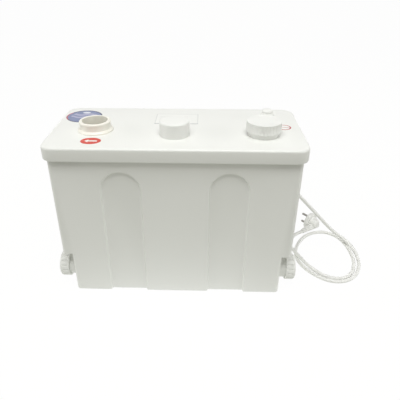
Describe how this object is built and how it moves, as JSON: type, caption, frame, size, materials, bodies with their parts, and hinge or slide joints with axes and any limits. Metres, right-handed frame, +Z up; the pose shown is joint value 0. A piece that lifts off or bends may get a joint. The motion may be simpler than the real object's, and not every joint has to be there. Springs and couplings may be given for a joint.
{
  "type": "macerator toilet pump",
  "caption": "Boxy white macerator pump for a toilet: lift-off lid, screw-capped inlets, flap-valved outlet, motor-driven cutter and impeller inside, and a mains lead with a plug.",
  "frame": {"origin": "on the floor, at the middle of the tank's footprint", "axes": "+X to the right seen from the wall side, +Y towards the toilet, +Z up"},
  "size_m": [0.5945, 0.2484, 0.317],
  "materials": {
    "white_plastic": "moulded ABS, satin gloss",
    "cream_plastic": "moulded plastic, satin gloss",
    "pale_grey_plastic": "moulded, matte",
    "grey_plastic": "moulded, matte",
    "black_plastic": "glass-filled, matte",
    "lead_sheath": "soft PVC, satin",
    "grey_rubber": "moulded rubber",
    "black_rubber": "moulded rubber",
    "steel": "stainless, brushed",
    "nickel_pin": "nickel-plated, bright",
    "motor_enamel": "enamelled sheet steel",
    "core_steel": "stacked steel sheets",
    "copper_winding": "enamelled copper wire",
    "capacitor_case": "drawn aluminium",
    "brass": "turned brass",
    "carbon": "carbon foam"
  },
  "bodies": {
    "tank_unit": {"tank": "white_plastic", "discharge_pipe": "white_plastic", "cable_gland": "pale_grey_plastic", "air_tube": "pale_grey_plastic", "motor_plate": "pale_grey_plastic", "switch_dish": "grey_plastic", "switch_cover": "grey_plastic", "terminal_box": "grey_plastic", "terminal_box_lid": "grey_plastic", "suction_plate": "grey_plastic", "volute": "black_plastic", "microswitch": "black_plastic", "mains_lead": "lead_sheath", "strain_relief": "lead_sheath", "plug_body": "lead_sheath", "wc_sleeve": "grey_rubber", "lid_gasket": "grey_rubber", "shaft_seal": "black_rubber", "discharge_hose": "black_rubber", "switch_diaphragm": "black_rubber", "wc_clamp": "steel", "plate_screws": "steel", "lower_bearing": "steel", "upper_bearing": "steel", "casing_screws": "steel", "grinder_basket": "steel", "hose_clips": "steel", "capacitor_clip": "steel", "plug_pins": "nickel_pin", "motor_can": "motor_enamel", "motor_cap": "motor_enamel", "stator_core": "core_steel", "stator_windings": "copper_winding", "capacitor": "capacitor_case"},
    "rotor": {"motor_shaft": "steel", "rotor_core": "core_steel", "impeller": "black_plastic", "cutter_blade": "steel", "blade_nut": "brass"},
    "plunger": {"switch_plunger": "pale_grey_plastic"},
    "lid_unit": {"lid": "white_plastic", "outlet_spigot": "cream_plastic", "spigot_nut": "cream_plastic", "spigot_seal": "black_rubber", "flap_pin": "steel", "breather_base": "white_plastic", "breather_cap": "white_plastic", "carbon_filter": "carbon"},
    "flap": {"valve_flap": "black_rubber"},
    "service_plug": {"service_cap": "white_plastic", "service_cap_seal": "black_rubber"},
    "top_washer": {"top_inlet_washer": "black_rubber"},
    "top_cap": {"top_inlet_cap": "white_plastic"},
    "left_washer": {"left_inlet_washer": "black_rubber"},
    "left_cap": {"left_inlet_cap": "white_plastic"},
    "right_washer": {"right_inlet_washer": "black_rubber"},
    "right_cap": {"right_inlet_cap": "white_plastic"}
  },
  "joints": [
    {"name": "lid_lift", "type": "slide", "parent": "tank_unit", "child": "lid_unit", "axis": [0, 0, 1], "range_m": [0, 0.06]},
    {"name": "rotor_spin", "type": "hinge", "parent": "tank_unit", "child": "rotor", "pos_m": [0, -0.037, 0.2], "axis": [0, 0, 1], "continuous": true},
    {"name": "plunger_press", "type": "slide", "parent": "tank_unit", "child": "plunger", "axis": [0, 0, 1], "range_m": [0, 0.002], "stiffness_N_per_m": 150},
    {"name": "flap_swing", "type": "hinge", "parent": "lid_unit", "child": "flap", "pos_m": [-0.139, -0.004, 0.2516], "axis": [-1, 0, 0], "range_deg": [0, 55]},
    {"name": "service_pull", "type": "slide", "parent": "lid_unit", "child": "service_plug", "axis": [0, 0, 1], "range_m": [0, 0.03]},
    {"name": "top_cap_rise", "type": "slide", "parent": "lid_unit", "child": "top_washer", "axis": [0, 0, 1], "range_m": [0, 0.01051]},
    {"name": "top_cap_turn", "type": "hinge", "parent": "top_washer", "child": "top_cap", "pos_m": [0.146, -0.033, 0.31], "axis": [0, 0, 1], "range_deg": [0, 1260]},
    {"name": "left_cap_out", "type": "slide", "parent": "tank_unit", "child": "left_washer", "axis": [-1, 0, 0], "range_m": [0, 0.01201]},
    {"name": "left_cap_turn", "type": "hinge", "parent": "left_washer", "child": "left_cap", "pos_m": [-0.215, -0.0635, 0.039], "axis": [-1, 0, 0], "range_deg": [0, 1440]},
    {"name": "right_cap_out", "type": "slide", "parent": "tank_unit", "child": "right_washer", "axis": [1, 0, 0], "range_m": [0, 0.01201]},
    {"name": "right_cap_turn", "type": "hinge", "parent": "right_washer", "child": "right_cap", "pos_m": [0.215, -0.0635, 0.039], "axis": [1, 0, 0], "range_deg": [0, 1440]}
  ],
  "couplings": [
    {"joint": "top_cap_rise", "follows": "top_cap_turn", "m_per_rad": 0.00047746},
    {"joint": "left_cap_out", "follows": "left_cap_turn", "m_per_rad": 0.00047746},
    {"joint": "right_cap_out", "follows": "right_cap_turn", "m_per_rad": 0.00047746}
  ]
}
